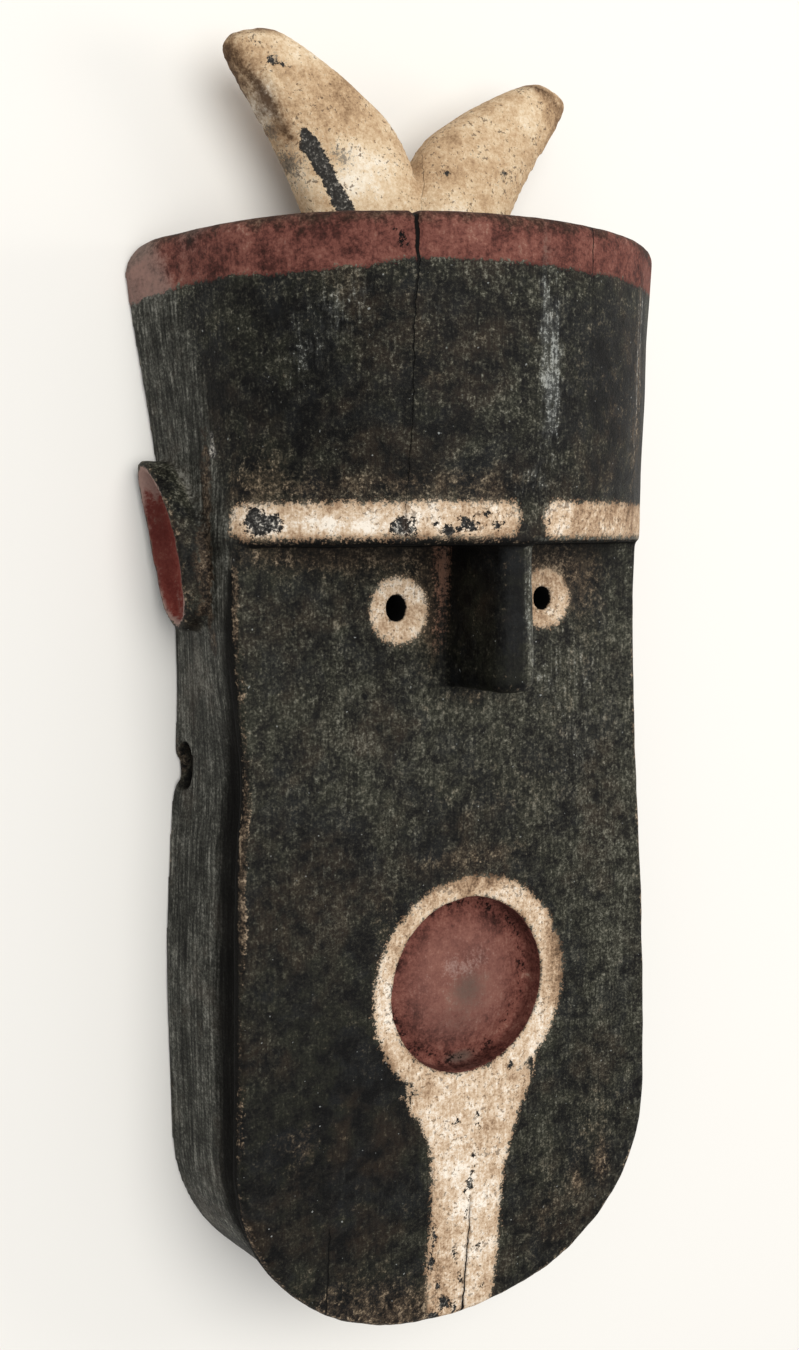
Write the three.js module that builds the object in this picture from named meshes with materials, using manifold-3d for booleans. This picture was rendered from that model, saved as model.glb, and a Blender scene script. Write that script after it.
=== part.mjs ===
// A carved wooden face mask lying on its hollow back: one block of wood with a flat face plate,
// a bulging forehead under a straight rim, a slab nose, two cupped ears and two horns.
// Millimetres, +X to the viewer's right, +Y towards the horns, +Z out of the face.
// Everything is drawn from the brow line on the face plate and set on its resting plane at the end.
import * as THREE from 'three';
import { mergeVertices } from 'three/addons/utils/BufferGeometryUtils.js';
import Module from 'manifold-3d';

const wasm = await Module();
wasm.setup();

// Driving dimensions
const wallDepth = 61;          // from the face plate's front down to the flat back edge
const wallThickness = 15;      // side, top and chin walls
const plateThickness = 20;     // face plate between the eyes and the mouth
const rimHeight = 119;         // brow line to the rim over the forehead
const rimTilt = 0.016;         // the rim climbs a little towards its right end
const rimCorner = { from: 105, over: 10.5, drop: 10 };   // the rim's two outer corners are worn round
const browLine = 0;

// The face plate: half widths to its left and right edge, and of the back edge, down the face
const faceStations = [
  { y: 4, left: 95.0, right: 94.3, back: 100.5 },
  { y: -25, left: 96.6, right: 93.3, back: 97.6 },
  { y: -57, left: 95.0, right: 93.5, back: 97.4 },
  { y: -89, left: 93.4, right: 94.6, back: 99.2 },
  { y: -120, left: 96.6, right: 96.5, back: 102.0 },
  { y: -170, left: 97.9, right: 99.6, back: 104.8 },
  { y: -240, left: 99.6, right: 100.6, back: 104.5 },
];
const chin = { top: -240, drop: 85, backDrop: 83, roundness: 2.15 };
const plateEdge = { rounding: 3, thickness: 8, grooveEnd: -18 };
const undercut = { depth: 5.2, from: -40, full: -105 };    // cut in behind the plate's edge

// The forehead, up from the brow line: the middle of its round front, how far that stands out, its
// radius, the half width where it meets the side wall, and the half width of the back edge
const foreheadStations = [
  { y: 0, centre: 0.4, front: 45.0, radius: 122.0, shoulder: 96.0, back: 100.2 },
  { y: 12, centre: 1.8, front: 46.8, radius: 115.5, shoulder: 96.4, back: 101.4 },
  { y: 34, centre: 3, front: 50.0, radius: 109.0, shoulder: 97.0, back: 104.0 },
  { y: 60, centre: 3, front: 52.0, radius: 109.0, shoulder: 98.8, back: 107.5 },
  { y: 84, centre: 3, front: 52.5, radius: 110.0, shoulder: 102.0, back: 111.5 },
  { y: rimHeight, centre: 3.5, front: 53.5, radius: 113.0, shoulder: 107.0, back: 116.5 },
];

const nose = { x: 4.5, width: 15, flare: 3, top: 5, bottom: -57.5, reach: 39.5, edge: 4.5 };
const mouth = { x: 5, y: -183, radius: 36.6, depth: 11, dome: 6 };
const eyes = [
  { x: -27.6, y: -25, width: 8.8, height: 10.4 },
  { x: 43, y: -23, width: 8.4, height: 9.4 },
];

// An ear, from the top down: its front and rear edge, and how far it reaches from the mask's middle
const earStations = [
  { y: 33.5, front: -46, rear: -57, reach: 113.5 },
  { y: 27, front: -38.5, rear: -57.5, reach: 112.8 },
  { y: 14, front: -28.5, rear: -56.5, reach: 111.2 },
  { y: 2, front: -24, rear: -55, reach: 109.6 },
  { y: -12, front: -22.5, rear: -53, reach: 108 },
  { y: -25, front: -24.5, rear: -48.5, reach: 106.6 },
  { y: -33, front: -32.5, rear: -39.5, reach: 105.8 },
];
const ear = { rim: 3.2, cup: 7, root: 86 };

// A horn's middle line, half width and half thickness from its foot to its blunt tip, for the left
// horn; slope is the rise of each section across the horn
const hornStations = [
  { x: -20, y: 108, width: 24, thick: 16.5, slope: 0 },
  { x: -21, y: 124, width: 25.5, thick: 16.5, slope: 0.1 },
  { x: -24, y: 139, width: 27, thick: 16, slope: 0.27 },
  { x: -34.3, y: 158.8, width: 26.8, thick: 15.5, slope: 0.31 },
  { x: -48, y: 173.9, width: 23, thick: 14.5, slope: 0.31 },
  { x: -61, y: 185.5, width: 18.5, thick: 13, slope: 0.3 },
  { x: -70, y: 193, width: 14, thick: 11, slope: 0.28 },
  { x: -72.5, y: 196.2, width: 9.5, thick: 7, slope: 0.26 },
];
const horns = { z: -32, roundness: 2.6, rightScale: 0.98, rightShift: -3.5, rightDrop: 2 };

// Seen along x; the hole rises by its tilt, in degrees, on its way in, and the edge behind it is
// chipped away over an oval
const cordHole = { x: -94, y: -88.5, z: -52.6, height: 19, width: 11.5, length: 44, tilt: 12 };
const edgeChip = { x: -100, y: -92, z: -61.5, depth: 5, height: 16, rise: 3.2 };

// Value of one measure at a height, eased smoothly between the stations
function measure(stations, key, at) {
  const rows = [...stations].sort((a, b) => a.y - b.y);
  if (at <= rows[0].y) return rows[0][key];
  const last = rows.length - 1;
  if (at >= rows[last].y) return rows[last][key];
  const i = rows.findIndex((row) => row.y > at) - 1;
  const slope = (k) => {
    const low = rows[Math.max(k - 1, 0)];
    const high = rows[Math.min(k + 1, last)];
    return (high[key] - low[key]) / (high.y - low.y);
  };
  const gap = rows[i + 1].y - rows[i].y;
  const t = (at - rows[i].y) / gap;
  const rise = t * t * (3 - 2 * t);
  const lead = t * (1 - t) * (1 - t) * gap * slope(i);
  const tail = t * t * (t - 1) * gap * slope(i + 1);
  return rows[i][key] * (1 - rise) + rows[i + 1][key] * rise + lead + tail;
}

// Evenly spaced values from a to b
const steps = (a, b, count) => Array.from({ length: count + 1 }, (_, k) => a + ((b - a) * k) / count);

// A closed skin through rings of equal count, with a fan over each end
function loft(rings) {
  const count = rings[0].length;
  const points = rings.flat();
  const centre = (ring) => ring.reduce((sum, p) => sum.add(p), new THREE.Vector3()).divideScalar(count);
  points.push(centre(rings[0]), centre(rings[rings.length - 1]));
  const index = [];
  for (let r = 0; r < rings.length - 1; r += 1) {
    for (let k = 0; k < count; k += 1) {
      const a = r * count + k;
      const b = r * count + ((k + 1) % count);
      index.push(a, b, b + count, a, b + count, a + count);
    }
  }
  const lastRing = (rings.length - 1) * count;
  for (let k = 0; k < count; k += 1) {
    const next = (k + 1) % count;
    index.push(points.length - 2, next, k);
    index.push(points.length - 1, lastRing + k, lastRing + next);
  }
  const geometry = new THREE.BufferGeometry().setFromPoints(points);
  geometry.setIndex(index);
  return geometry;
}

// Volume enclosed by a closed geometry, negative when its faces point in
function signedVolume(geometry) {
  const position = geometry.getAttribute('position');
  const [a, b, c] = [new THREE.Vector3(), new THREE.Vector3(), new THREE.Vector3()];
  let total = 0;
  for (let k = 0; k < geometry.index.count; k += 3) {
    a.fromBufferAttribute(position, geometry.index.getX(k));
    b.fromBufferAttribute(position, geometry.index.getX(k + 1));
    c.fromBufferAttribute(position, geometry.index.getX(k + 2));
    total += a.dot(b.cross(c)) / 6;
  }
  return total;
}

// A closed geometry as a solid that can be joined and cut
function solid(geometry) {
  const bare = geometry.clone();
  bare.deleteAttribute('normal');
  bare.deleteAttribute('uv');
  const merged = mergeVertices(bare, 1e-4);
  const triVerts = Uint32Array.from(merged.index.array);
  if (signedVolume(merged) < 0) triVerts.reverse();
  const vertProperties = Float32Array.from(merged.getAttribute('position').array);
  return new wasm.Manifold(new wasm.Mesh({ numProp: 3, vertProperties, triVerts }));
}

function toGeometry(body) {
  const mesh = body.getMesh();
  const geometry = new THREE.BufferGeometry();
  geometry.setAttribute('position', new THREE.BufferAttribute(mesh.vertProperties, 3));
  geometry.setIndex(new THREE.BufferAttribute(mesh.triVerts, 1));
  geometry.computeVertexNormals();
  return geometry;
}

// One outline of the face block at depth z: down the left side, round the chin and up the right
function faceRing(z, widthAt, drop) {
  const ring = [];
  const sideRows = steps(4, chin.top, 13);
  for (const y of sideRows) ring.push(new THREE.Vector3(-widthAt('left', y), y, z));
  const power = 2 / chin.roundness;
  for (const turn of steps(0, Math.PI, 26).slice(1, -1)) {
    const side = turn < Math.PI / 2 ? 'left' : 'right';
    const across = Math.abs(Math.cos(turn)) ** power * widthAt(side, chin.top);
    const down = Math.sin(turn) ** power * drop;
    ring.push(new THREE.Vector3(side === 'left' ? -across : across, chin.top - down, z));
  }
  for (const y of [...sideRows].reverse()) ring.push(new THREE.Vector3(widthAt('right', y), y, z));
  return ring;
}

// The face block's side at a height: the plate's edge, the undercut behind it, then the flaring wall
function faceBlock() {
  const plate = (side, y) => measure(faceStations, side, y);
  const depthOfCut = (y) => {
    const share = (undercut.from - y) / (undercut.from - undercut.full);
    return undercut.depth * THREE.MathUtils.clamp(share, 0, 1);
  };
  const wall = (z) => (side, y) => {
    const share = Math.max(0, (plateEdge.grooveEnd - z) / (plateEdge.grooveEnd + wallDepth)) ** 0.8;
    const top = plate(side, y) - depthOfCut(y) * 0.8;
    return top + (measure(faceStations, 'back', y) - top) * share;
  };
  const groove = (side, y) => plate(side, y) - depthOfCut(y);
  const inset = (amount) => (side, y) => plate(side, y) - amount;
  const backDrop = chin.backDrop;
  return loft([
    faceRing(-wallDepth, wall(-wallDepth), backDrop),
    faceRing(-wallDepth / 2 - 8, wall(-wallDepth / 2 - 8), backDrop),
    faceRing(plateEdge.grooveEnd, wall(plateEdge.grooveEnd), backDrop - 2),
    faceRing(-plateEdge.thickness - 3, groove, backDrop - 2.5),
    faceRing(-plateEdge.thickness + 1, inset(0), chin.drop),
    faceRing(-plateEdge.rounding, inset(0), chin.drop),
    faceRing(-plateEdge.rounding * 0.3, inset(plateEdge.rounding * 0.3), chin.drop - plateEdge.rounding * 0.3),
    faceRing(0, inset(plateEdge.rounding), chin.drop - plateEdge.rounding),
  ]);
}

// How far the worn rim drops at a distance from the middle, fading out below the rim
function rimDrop(x, level) {
  const share = Math.max(0, (Math.abs(x) - rimCorner.from) / rimCorner.over);
  const fade = THREE.MathUtils.smoothstep(level, rimHeight - 45, rimHeight);
  return fade * (rimCorner.drop * share ** 1.6 - rimTilt * Math.max(x, 0));
}

// A level section of the forehead, shrunk by inset: back edge, side wall, round front, side wall
function foreheadRing(y, inset, level = y) {
  const radius = measure(foreheadStations, 'radius', level) - inset;
  const centreX = measure(foreheadStations, 'centre', level);
  const centreZ = measure(foreheadStations, 'front', level) - radius - inset;
  const shoulder = measure(foreheadStations, 'shoulder', level) - inset;
  const back = measure(foreheadStations, 'back', level) - inset;
  const angleAt = (x) => Math.asin(THREE.MathUtils.clamp((x - centreX) / radius, -1, 1));
  const from = angleAt(-shoulder);
  const to = angleAt(shoulder);
  const corner = (angle) => centreZ + radius * Math.cos(angle);
  const point = (x, z) => new THREE.Vector3(x, inset ? y : y - rimDrop(x, level), z);
  const ring = [];
  const wallRows = [0, 0.35, 0.7];
  for (const t of wallRows) {
    ring.push(point(-back + (back - shoulder) * t, -wallDepth + (corner(from) + wallDepth) * t));
  }
  for (const angle of steps(from, to, 34)) {
    ring.push(point(centreX + radius * Math.sin(angle), centreZ + radius * Math.cos(angle)));
  }
  for (const t of [...wallRows].reverse()) {
    ring.push(point(back + (shoulder - back) * t, -wallDepth + (corner(to) + wallDepth) * t));
  }
  return ring;
}

// Shrinks a level ring towards the middle of the forehead, which rounds the edge it ends in; below
// the depth floor the ring keeps its place
function drawnIn(ring, amount, floor = -wallDepth - 20) {
  return ring.map((p) => {
    const away = new THREE.Vector3(p.x, 0, p.z + wallDepth).normalize();
    const pull = amount * THREE.MathUtils.smoothstep(p.z, floor, floor + 18);
    return new THREE.Vector3(p.x - away.x * pull, p.y, Math.max(p.z - away.z * pull, -wallDepth));
  });
}

function foreheadBlock() {
  return loft([
    drawnIn(foreheadRing(browLine, 0), 1.5, -16),
    foreheadRing(browLine + 1.5, 0),
    ...[12, 24, 40, 60, 84, 102].map((y) => foreheadRing(y, 0)),
    foreheadRing(rimHeight - 6, 0),
    drawnIn(foreheadRing(rimHeight - 2, 0), 1.3),
    drawnIn(foreheadRing(rimHeight, 0), 5),
  ]);
}

// The open hollow: a tray behind the face plate and a deeper vault behind the forehead
function faceHollow() {
  const widthAt = (shrink) => (side, y) => measure(faceStations, side, y) - shrink;
  const backWidth = (shrink) => (side, y) => measure(faceStations, 'back', y) - shrink;
  const drop = chin.backDrop - wallThickness;
  return loft([
    faceRing(-wallDepth - 4, backWidth(wallThickness), drop),
    faceRing(-wallDepth + 10, backWidth(wallThickness + 1), drop - 1),
    faceRing(-plateThickness - 8, widthAt(wallThickness + 2), drop - 4),
    faceRing(-plateThickness - 2.5, widthAt(wallThickness + 5), drop - 7),
    faceRing(-plateThickness, widthAt(wallThickness + 10), drop - 12),
  ]);
}

function foreheadHollow() {
  const inset = wallThickness;
  const shelf = -plateThickness - 0.5;     // under the brow the vault starts at the tray's ceiling
  const underBrow = [foreheadRing(-34, inset + 9, browLine), foreheadRing(1, inset), foreheadRing(13, inset)]
    .map((ring) => ring.map((p) => p.clone().setZ(Math.min(p.z, shelf))));
  const vault = [17, 30, 55, 80, rimHeight - wallThickness - 5].map((y) => foreheadRing(y, inset));
  const rings = [...underBrow, ...vault];
  const roof = rimHeight - wallThickness;
  rings.push(foreheadRing(roof, inset + 5, roof));
  const belowBack = (p) => (p.z < -wallDepth + 0.5 ? p.clone().setZ(-wallDepth - 4) : p);
  return loft(rings.map((ring) => ring.map(belowBack)));
}

function noseBlock() {
  const ring = (y, pull) => {
    const share = THREE.MathUtils.clamp(y / nose.bottom, 0, 1);
    const half = (nose.width + nose.flare * share) / 2 - pull * 0.5;
    const front = nose.reach - pull;
    const round = nose.edge;
    const points = [[-half - 1, -6], [-half, 6], [-half, front - round]];
    for (const a of steps(Math.PI, Math.PI / 2, 4).slice(1)) {
      points.push([-half + round + round * Math.cos(a), front - round + round * Math.sin(a)]);
    }
    for (const a of steps(Math.PI / 2, 0, 4)) {
      points.push([half - round + round * Math.cos(a), front - round + round * Math.sin(a)]);
    }
    points.push([half, 6], [half + 1, -6]);
    return points.map(([x, z]) => new THREE.Vector3(nose.x - 0.8 * share + x, y, z));
  };
  return loft([
    ring(nose.top, 0), ring(-20, 0), ring(-40, 0), ring(nose.bottom + 5, 0.2),
    ring(nose.bottom + 1.6, 1.6), ring(nose.bottom, 4.5),
  ]);
}

// The mouth is a shallow round sinking with a low dome for its floor
function mouthCutter() {
  const clear = 6;
  const corner = 1.5;
  const floor = steps(0, mouth.radius - corner, 6).map((r) => {
    const rise = mouth.dome * (1 - (r / mouth.radius) ** 2);
    return new THREE.Vector2(r, -mouth.depth + rise);
  });
  const lip = mouth.radius + 1;
  const side = [[mouth.radius, -mouth.depth + corner], [mouth.radius, -1], [lip, 0], [lip, clear], [0, clear]];
  const profile = [...floor, ...side.map(([r, h]) => new THREE.Vector2(r, h))];
  const geometry = new THREE.LatheGeometry(profile, 48);
  geometry.rotateX(Math.PI / 2);
  geometry.translate(mouth.x, mouth.y, 0);
  return geometry;
}

function eyeCutter(eye) {
  const geometry = new THREE.CylinderGeometry(0.5, 0.5, 60, 24);
  geometry.rotateX(Math.PI / 2);
  geometry.scale(eye.width, eye.height, 1);
  geometry.translate(eye.x, eye.y, -10);
  return geometry;
}

// The ear's outline, front edge down and rear edge up, drawn in by inset at a distance out
function earRing(side, inset, outward) {
  const rows = steps(earStations[0].y - inset, earStations[earStations.length - 1].y + inset, 11);
  const edge = (key, y, sign) => {
    const rear = measure(earStations, 'rear', y);
    const front = measure(earStations, 'front', y);
    const middle = (rear + front) / 2;
    const half = Math.max((front - rear) / 2 - inset, 1.2);
    return middle + sign * half;
  };
  const point = (y, z) => new THREE.Vector3(side * outward(y), y, z);
  return [
    ...rows.map((y) => point(y, edge('front', y, 1))),
    ...[...rows].reverse().map((y) => point(y, edge('rear', y, -1))),
  ];
}

function earBody(side) {
  const reach = (less) => (y) => measure(earStations, 'reach', y) - less;
  return loft([
    earRing(side, 0, () => ear.root),
    earRing(side, 0, reach(1.5)),
    earRing(side, 0.9, reach(0)),
  ]);
}

function earCup(side) {
  const reach = (less) => (y) => measure(earStations, 'reach', y) - less;
  return loft([
    earRing(side, ear.rim, reach(-3)),
    earRing(side, ear.rim, reach(1)),
    earRing(side, ear.rim + 3, reach(ear.cup)),
  ]);
}

// A horn as rounded sections carried from foot to tip
function hornBody(side) {
  const last = hornStations.length - 1;
  const at = (key, t) => {
    const rows = hornStations.map((row, k) => ({ y: k, value: row[key] }));
    return measure(rows, 'value', t * last);
  };
  const power = 2 / horns.roundness;
  const bent = (value) => Math.sign(value) * Math.abs(value) ** power;
  const rings = [...steps(0, 0.84, 12), 0.89, 0.93, 0.965, 0.985, 1].map((t) => {
    const across = new THREE.Vector2(1, at('slope', t)).normalize();
    return steps(0, 2 * Math.PI, 24).slice(0, -1).map((turn) => {
      const out = bent(Math.cos(turn)) * at('width', t);
      const x = at('x', t) + across.x * out;
      const y = at('y', t) + across.y * out;
      const z = horns.z + bent(Math.sin(turn)) * at('thick', t);
      if (side < 0) return new THREE.Vector3(x, y, z);
      const drop = horns.rightDrop * THREE.MathUtils.clamp((y - 125) / 60, 0, 1);
      return new THREE.Vector3(-x * horns.rightScale + horns.rightShift, y - drop, z);
    });
  });
  return loft(rings);
}

// A hole for the fixing cord close to the back edge, and the chip out of the thin edge behind it
function cordHoleCutter() {
  const hole = new THREE.CylinderGeometry(0.5, 0.5, cordHole.length, 16);
  hole.rotateZ(Math.PI / 2);
  hole.scale(1, cordHole.height, cordHole.width);
  hole.rotateY(-THREE.MathUtils.degToRad(cordHole.tilt));
  hole.translate(cordHole.x, cordHole.y, cordHole.z);
  const chip = new THREE.SphereGeometry(1, 16, 10);
  chip.scale(edgeChip.depth, edgeChip.height / 2, edgeChip.rise);
  chip.translate(edgeChip.x, edgeChip.y, edgeChip.z);
  return solid(hole).add(solid(chip));
}

let body = solid(faceBlock()).add(solid(foreheadBlock())).add(solid(noseBlock()));
for (const side of [-1, 1]) body = body.add(solid(earBody(side))).add(solid(hornBody(side)));
body = body.subtract(solid(faceHollow()).add(solid(foreheadHollow())));
for (const side of [-1, 1]) body = body.subtract(solid(earCup(side)));
body = body.subtract(solid(mouthCutter()));
for (const eye of eyes) body = body.subtract(solid(eyeCutter(eye)));
body = body.subtract(cordHoleCutter());

const wood = new THREE.MeshStandardMaterial({ color: 0x2e302c, roughness: 0.72, metalness: 0 });
const carving = new THREE.Mesh(toGeometry(body), wood);
carving.name = 'carved_mask';

// The mask lies on its back edge with the middle of its length and width at the origin
const box = new THREE.Box3().setFromObject(carving);
const middle = box.getCenter(new THREE.Vector3());
const mask = new THREE.Group();
mask.add(carving);
mask.position.set(-middle.x, -middle.y, -box.min.z);

export default mask;
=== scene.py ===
import math

import bpy
import numpy as np
from mathutils import Matrix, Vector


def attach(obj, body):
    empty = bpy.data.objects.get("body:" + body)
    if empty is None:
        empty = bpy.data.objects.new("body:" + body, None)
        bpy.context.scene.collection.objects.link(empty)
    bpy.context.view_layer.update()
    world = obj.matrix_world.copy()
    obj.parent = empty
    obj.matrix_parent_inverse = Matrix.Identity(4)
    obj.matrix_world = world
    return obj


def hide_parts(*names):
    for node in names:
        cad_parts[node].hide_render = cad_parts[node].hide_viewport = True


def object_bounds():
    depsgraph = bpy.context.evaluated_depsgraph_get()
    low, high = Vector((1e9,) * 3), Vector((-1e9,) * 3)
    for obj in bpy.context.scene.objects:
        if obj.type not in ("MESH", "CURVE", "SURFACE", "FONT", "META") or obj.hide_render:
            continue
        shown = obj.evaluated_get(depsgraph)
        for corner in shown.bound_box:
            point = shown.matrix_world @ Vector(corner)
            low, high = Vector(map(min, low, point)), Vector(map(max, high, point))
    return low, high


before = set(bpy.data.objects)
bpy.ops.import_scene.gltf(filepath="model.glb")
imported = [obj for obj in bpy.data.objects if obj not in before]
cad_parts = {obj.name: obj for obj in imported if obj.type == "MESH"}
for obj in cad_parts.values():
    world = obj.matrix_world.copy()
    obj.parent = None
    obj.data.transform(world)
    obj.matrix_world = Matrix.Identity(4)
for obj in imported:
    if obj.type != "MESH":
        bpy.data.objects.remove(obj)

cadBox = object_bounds()
millimetre = 0.001

# The carved block, in millimetres: x to the viewer's right, y up from the brow line towards the
# horns, z out of the face plate's front. Lists hold one value for each height in "y".
maskShape = dict(
    wallDepth=61.0,             # from the face plate's front down to the flat back edge
    wallThickness=15.0,
    plateThickness=20.0,
    triangles=190000,           # what the finished surface is thinned to
    face=dict(
        y=[-240, -170, -120, -89, -57, -25, 4],
        left=[99.6, 97.9, 96.6, 93.4, 95.0, 96.6, 95.0],
        right=[100.6, 99.6, 96.5, 94.6, 93.5, 93.3, 94.3],
        back=[104.5, 104.8, 102.0, 99.2, 97.4, 97.6, 100.5],
    ),
    chin=dict(top=-240.0, drop=85.0, grooveDrop=80.5, backDrop=83.0, roundness=2.15),
    undercut=dict(depth=5.2, start=-40.0, full=-105.0, front=-7.0, deepest=-11.0, end=-18.0),
    forehead=dict(
        y=[0, 12, 34, 60, 84, 119],
        centre=[0.4, 1.8, 3.0, 3.0, 3.0, 3.5],
        front=[45.0, 46.8, 50.0, 52.0, 52.5, 53.5],
        radius=[122.0, 115.5, 109.0, 109.0, 110.0, 113.0],
        shoulder=[96.0, 96.4, 97.0, 98.8, 102.0, 107.0],
        back=[100.2, 101.4, 104.0, 107.5, 111.5, 116.5],
    ),
    rim=dict(height=119.0, tilt=0.016, cornerStart=105.0, cornerOver=10.5, cornerDrop=10.0),
    nose=dict(x=4.5, width=15.0, flare=3.0, top=6.0, bottom=-57.5, reach=39.5),
    mouth=dict(x=5.0, y=-183.0, radius=36.6, depth=11.0, dome=6.0),
    eyes=[dict(x=-27.6, y=-25.0, width=8.8, height=10.4), dict(x=43.0, y=-23.0, width=8.4, height=9.4)],
    ear=dict(
        y=[-33, -25, -12, 2, 14, 27, 33.5],
        front=[-32.5, -24.5, -22.5, -24, -28.5, -38.5, -46],
        rear=[-39.5, -48.5, -53, -55, -56.5, -57.5, -57],
        reach=[105.8, 106.6, 108, 109.6, 111.2, 112.8, 113.5],
    ),
    earRim=3.2,
    earCup=7.0,
    horn=dict(
        y=[0, 1, 2, 3, 4, 5, 6, 7],             # stations from the foot to the tip
        x=[-20, -21, -24, -34.3, -48, -61, -70, -72.5],
        up=[108, 124, 139, 158.8, 173.9, 185.5, 193, 196.2],
        width=[24, 25.5, 27, 26.8, 23, 18.5, 14, 9.5],
        thick=[16.5, 16.5, 16, 15.5, 14.5, 13, 11, 7],
        slope=[0, 0.1, 0.27, 0.31, 0.31, 0.3, 0.28, 0.26],
        reach=34.0,                             # no part of a horn is farther from its middle line
    ),
    hornZ=-32.0,
    hornRoundness=2.6,
    rightHorn=dict(scale=0.98, shift=-3.5, drop=2.0),
    cordHole=dict(x=-94.0, y=-88.5, z=-52.6, height=19.0, width=11.5, tilt=12.0),
    edgeChip=dict(x=-100.0, y=-92.0, z=-61.5, depth=5.0, height=16.0, rise=3.2),
    rounding=dict(                              # of joins and edges
        plate=3.6, plateTop=2, flank=3, flankEnds=2, flankFoot=1.5, forehead=5, rimTop=6, browLedge=2.2,
        browFoot=1.6, nose=2.4, ear=2.4, cup=0.8, horns=2.5, mouth=1.3, eye=1.2, hollow=2, cordHole=1.0,
        back=1.6,
    ),
)

face, chin, forehead, rim = (maskShape[k] for k in ("face", "chin", "forehead", "rim"))
undercut, nose, mouth = (maskShape[k] for k in ("undercut", "nose", "mouth"))
floorZ = -maskShape["wallDepth"]


# Value at y of one measure, eased through its stations: a cubic between two stations whose slope
# at each is that of the line through its neighbours
def eased(y, stations, key):
    at = np.asarray(stations["y"], float)
    value = np.asarray(stations[key], float)
    before = np.maximum(np.arange(len(at)) - 1, 0)
    after = np.minimum(np.arange(len(at)) + 1, len(at) - 1)
    slope = (value[after] - value[before]) / (at[after] - at[before])
    y = np.clip(y, at[0], at[-1])
    i = np.clip(np.searchsorted(at, y, side="right") - 1, 0, len(at) - 2)
    gap = at[i + 1] - at[i]
    t = (y - at[i]) / gap
    rise = t * t * (3 - 2 * t)
    lead = t * (1 - t) ** 2 * gap * slope[i]
    tail = t * t * (t - 1) * gap * slope[i + 1]
    return value[i] * (1 - rise) + value[i + 1] * rise + lead + tail


def ramp(value, low, high):         # 0 below low, 1 above high, eased between
    t = np.clip((value - low) / (high - low), 0, 1)
    return t * t * (3 - 2 * t)


def smoothMax(a, b, r):             # the larger of two distances, rounded where they meet
    h = np.maximum(r - np.abs(a - b), 0) / r
    return np.maximum(a, b) + h * h * r / 4


def smoothMin(a, b, r):
    return -smoothMax(-a, -b, r)


# Distance to the outline of the face block. Its half width is that of the plate in front, pulled in
# behind the plate's edge, and widens from there to the back edge; the chin is a superellipse.
def faceOutline(x, y, z):
    share = np.clip((undercut["start"] - y) / (undercut["start"] - undercut["full"]), 0, 1)
    cut = undercut["depth"] * share
    share = np.clip((undercut["end"] - z) / (undercut["end"] - floorZ), 0, 1) ** 0.8
    atGroove = ramp(z, undercut["end"], undercut["deepest"])
    atPlate = ramp(z, undercut["deepest"], undercut["front"])
    back = eased(y, face, "back")

    def halfWidth(side):
        plate = eased(y, face, side)
        wall = plate - 0.8 * cut
        wall = wall + (back - wall) * share
        wall = wall + (plate - cut - wall) * atGroove
        return wall + (plate - wall) * atPlate

    width = np.where(x < 0, halfWidth("left"), halfWidth("right"))
    down = np.maximum(chin["top"] - y, 0)
    if not np.any(down > 0):
        return np.abs(x) - width
    drop = chin["backDrop"] + (chin["grooveDrop"] - chin["backDrop"]) * ramp(z, -38, undercut["deepest"])
    drop = drop + (chin["drop"] - drop) * atPlate
    power = chin["roundness"]
    reach = ((np.abs(x) / width) ** power + (down / drop) ** power) ** (1 / power)
    return (reach - 1) * np.hypot(x, down) / np.maximum(reach, 1e-6)


# Distances to the forehead's round front and to its two side walls: the front is a circle in each
# level section, and a wall runs straight from where it meets the circle to the back edge
def foreheadSides(x, y, z):
    radius, centre, front, shoulder, back = (
        eased(y, forehead, key) for key in ("radius", "centre", "front", "shoulder", "back"))
    middle = front - radius
    corner = middle + np.sqrt(radius ** 2 - (shoulder - np.sign(x) * centre) ** 2)
    roundFront = np.hypot(x - centre, z - middle) - radius
    roundFront = roundFront - 0.35 * np.clip(corner - 2 - z, 0, 60)
    wall = np.abs(x) - shoulder - (back - shoulder) * (corner - z) / (corner - floorZ)
    return roundFront, wall


def rimLevel(x):                    # height of the rim's top, worn down at its two outer corners
    share = np.maximum(0, (np.abs(x) - rim["cornerStart"]) / rim["cornerOver"])
    return rim["height"] - rim["cornerDrop"] * share ** 1.6 + rim["tilt"] * np.maximum(x, 0)


# Distance to the nose: a slab with a rounded front, a little wider at its lower end
def noseField(x, y, z):
    share = np.clip(y / nose["bottom"], 0, 1)
    half = (nose["width"] + nose["flare"] * share) / 2 + np.clip(1 - z / 7, 0, 1)
    across = np.abs(x - nose["x"] + 0.8 * share) - half
    body = smoothMax(across, z - nose["reach"], 7)
    body = smoothMax(body, nose["bottom"] - y, 5)
    return np.maximum(body, y - nose["top"])


# Distance to one ear and to the cup sunk in it: the outline between its front and rear edge, as
# far out as it reaches
def earField(x, y, z, side):
    ear = maskShape["ear"]
    out = side * x
    front, rear, reach = (eased(y, ear, key) for key in ("front", "rear", "reach"))
    across = np.abs(z - (front + rear) / 2) - (front - rear) / 2
    along = np.maximum(y - ear["y"][-1], ear["y"][0] - y)
    outline = smoothMax(across, along, 5)
    body = np.maximum(smoothMax(outline, out - reach, 2.6), 86 - out)
    cup = smoothMax(across + maskShape["earRim"], along + maskShape["earRim"], 7)
    cup = smoothMax(cup + 0.45 * (reach - out), reach - maskShape["earCup"] - out, 3)
    return body, cup


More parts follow.
